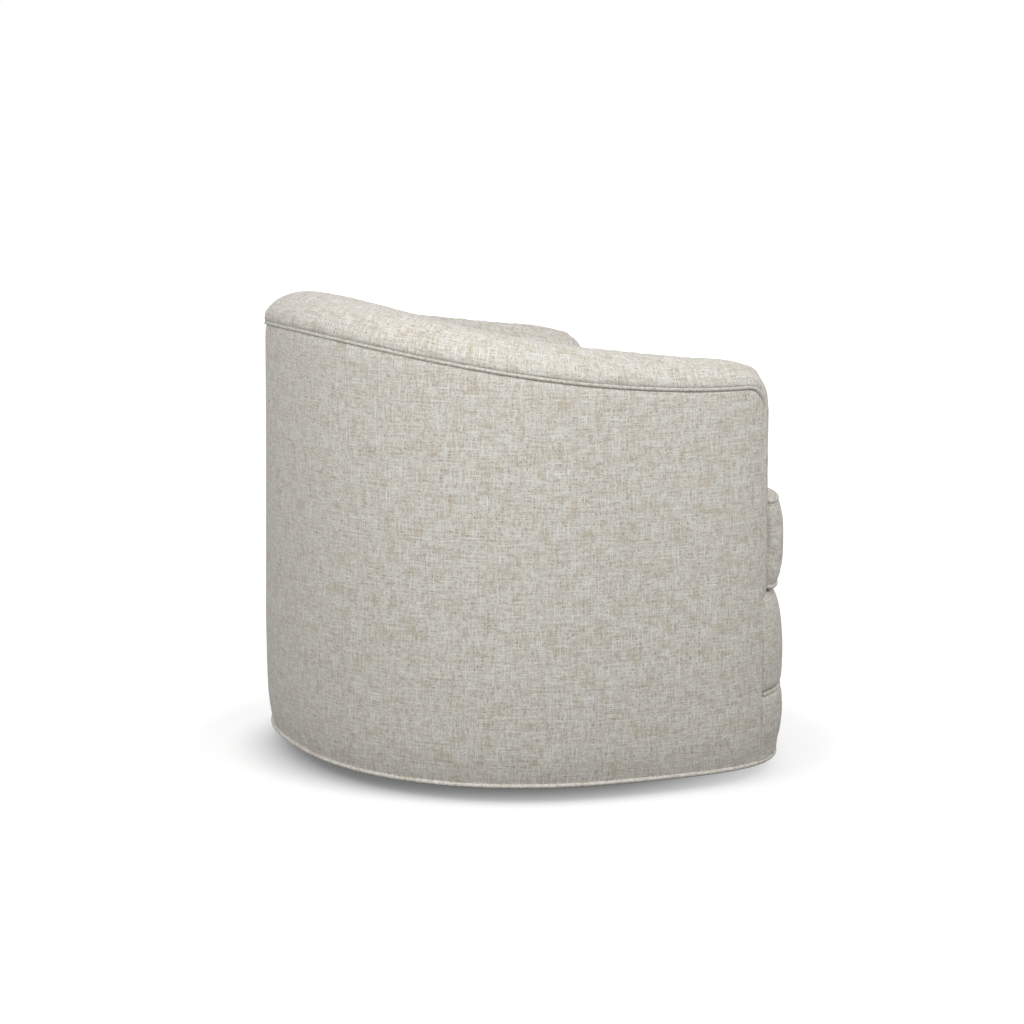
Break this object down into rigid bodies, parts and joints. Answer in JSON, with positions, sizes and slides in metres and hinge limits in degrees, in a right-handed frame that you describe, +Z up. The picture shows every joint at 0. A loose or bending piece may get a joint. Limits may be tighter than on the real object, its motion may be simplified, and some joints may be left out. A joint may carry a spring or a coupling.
{
  "type": "swivel barrel chair",
  "caption": "Upholstered barrel armchair with a sloping padded roll, welted panels and a loose T-shaped seat cushion, turning on a hidden ball-bearing swivel.",
  "frame": {"origin": "on the floor, at the centre of the chair's outline, under the swivel's axis", "axes": "+Z up, -Y the way a person in the chair faces, +X to the right seen from the front"},
  "size_m": [0.848, 0.7095, 0.7038],
  "materials": {
    "base_steel": "black powder coat, fine texture",
    "nylon": "moulded black nylon",
    "zinc": "zinc plated",
    "cage_plastic": "natural nylon",
    "ball_steel": "polished",
    "solid_wood": "sawn, unfinished",
    "plywood": "unfinished plywood",
    "spring_steel": "oiled",
    "webbing": "woven jute",
    "burlap": "coarse jute cloth",
    "deck_cloth": "plain woven lining over felt",
    "fibreboard": "raw board",
    "foam": "open cell polyurethane foam",
    "linen": "oatmeal linen weave with tan slubs",
    "black_cloth": "non-woven black cloth",
    "zip_tape": "woven tape with coil teeth"
  },
  "bodies": {
    "base": {"base_bar_long": "base_steel", "base_bar_left": "base_steel", "base_bar_right": "base_steel", "base_glides": "nylon", "glide_screws": "zinc", "swivel_lower_plate": "zinc", "base_bolts": "zinc", "king_pin": "zinc"},
    "ball_ring": {"ball_cage": "cage_plastic", "swivel_balls": "ball_steel"},
    "shell": {"swivel_upper_plate": "zinc", "seat_screws": "zinc", "swivel_rail_left": "solid_wood", "swivel_rail_right": "solid_wood", "front_rail_board": "plywood", "seat_side_rail_left": "solid_wood", "seat_side_rail_right": "solid_wood", "seat_rear_rail": "solid_wood", "bottom_rim_arm_left": "plywood", "bottom_rim_rear_left": "plywood", "bottom_rim_rear": "plywood", "bottom_rim_rear_right": "plywood", "bottom_rim_arm_right": "plywood", "top_rim_arm_left": "plywood", "top_rim_rear_left": "plywood", "top_rim_rear": "plywood", "top_rim_rear_right": "plywood", "top_rim_arm_right": "plywood", "side_post_left": "solid_wood", "side_post_right": "solid_wood", "rear_post_left": "solid_wood", "rear_post_right": "solid_wood", "arm_board_left": "plywood", "arm_board_right": "plywood", "seat_springs": "spring_steel", "spring_clips": "zinc", "back_webbing": "webbing", "spring_cloth": "burlap", "seat_deck": "deck_cloth", "outside_board": "fibreboard", "outside_panel": "linen", "inside_foam": "foam", "inside_cover": "linen", "arm_front_left": "linen", "arm_front_right": "linen", "front_rail_pad": "linen", "front_band": "linen", "top_welt": "linen", "hem_welt": "linen", "rail_welt": "linen", "dust_cloth": "black_cloth"},
    "cushion": {"cushion_cover": "linen", "cushion_core": "foam", "cushion_top_welt": "linen", "cushion_bottom_welt": "linen", "cushion_zip": "zip_tape"}
  },
  "joints": [
    {"name": "swivel", "type": "hinge", "parent": "base", "child": "shell", "pos_m": [0, 0, 0.035], "axis": [0, 0, 1], "continuous": true},
    {"name": "ball_ring_turn", "type": "hinge", "parent": "base", "child": "ball_ring", "pos_m": [0, 0, 0.032], "axis": [0, 0, 1], "continuous": true},
    {"name": "cushion_lift", "type": "slide", "parent": "shell", "child": "cushion", "axis": [0, 0, 1], "range_m": [0, 0.24]}
  ],
  "couplings": [
    {"joint": "ball_ring_turn", "follows": "swivel", "ratio": 0.5}
  ]
}
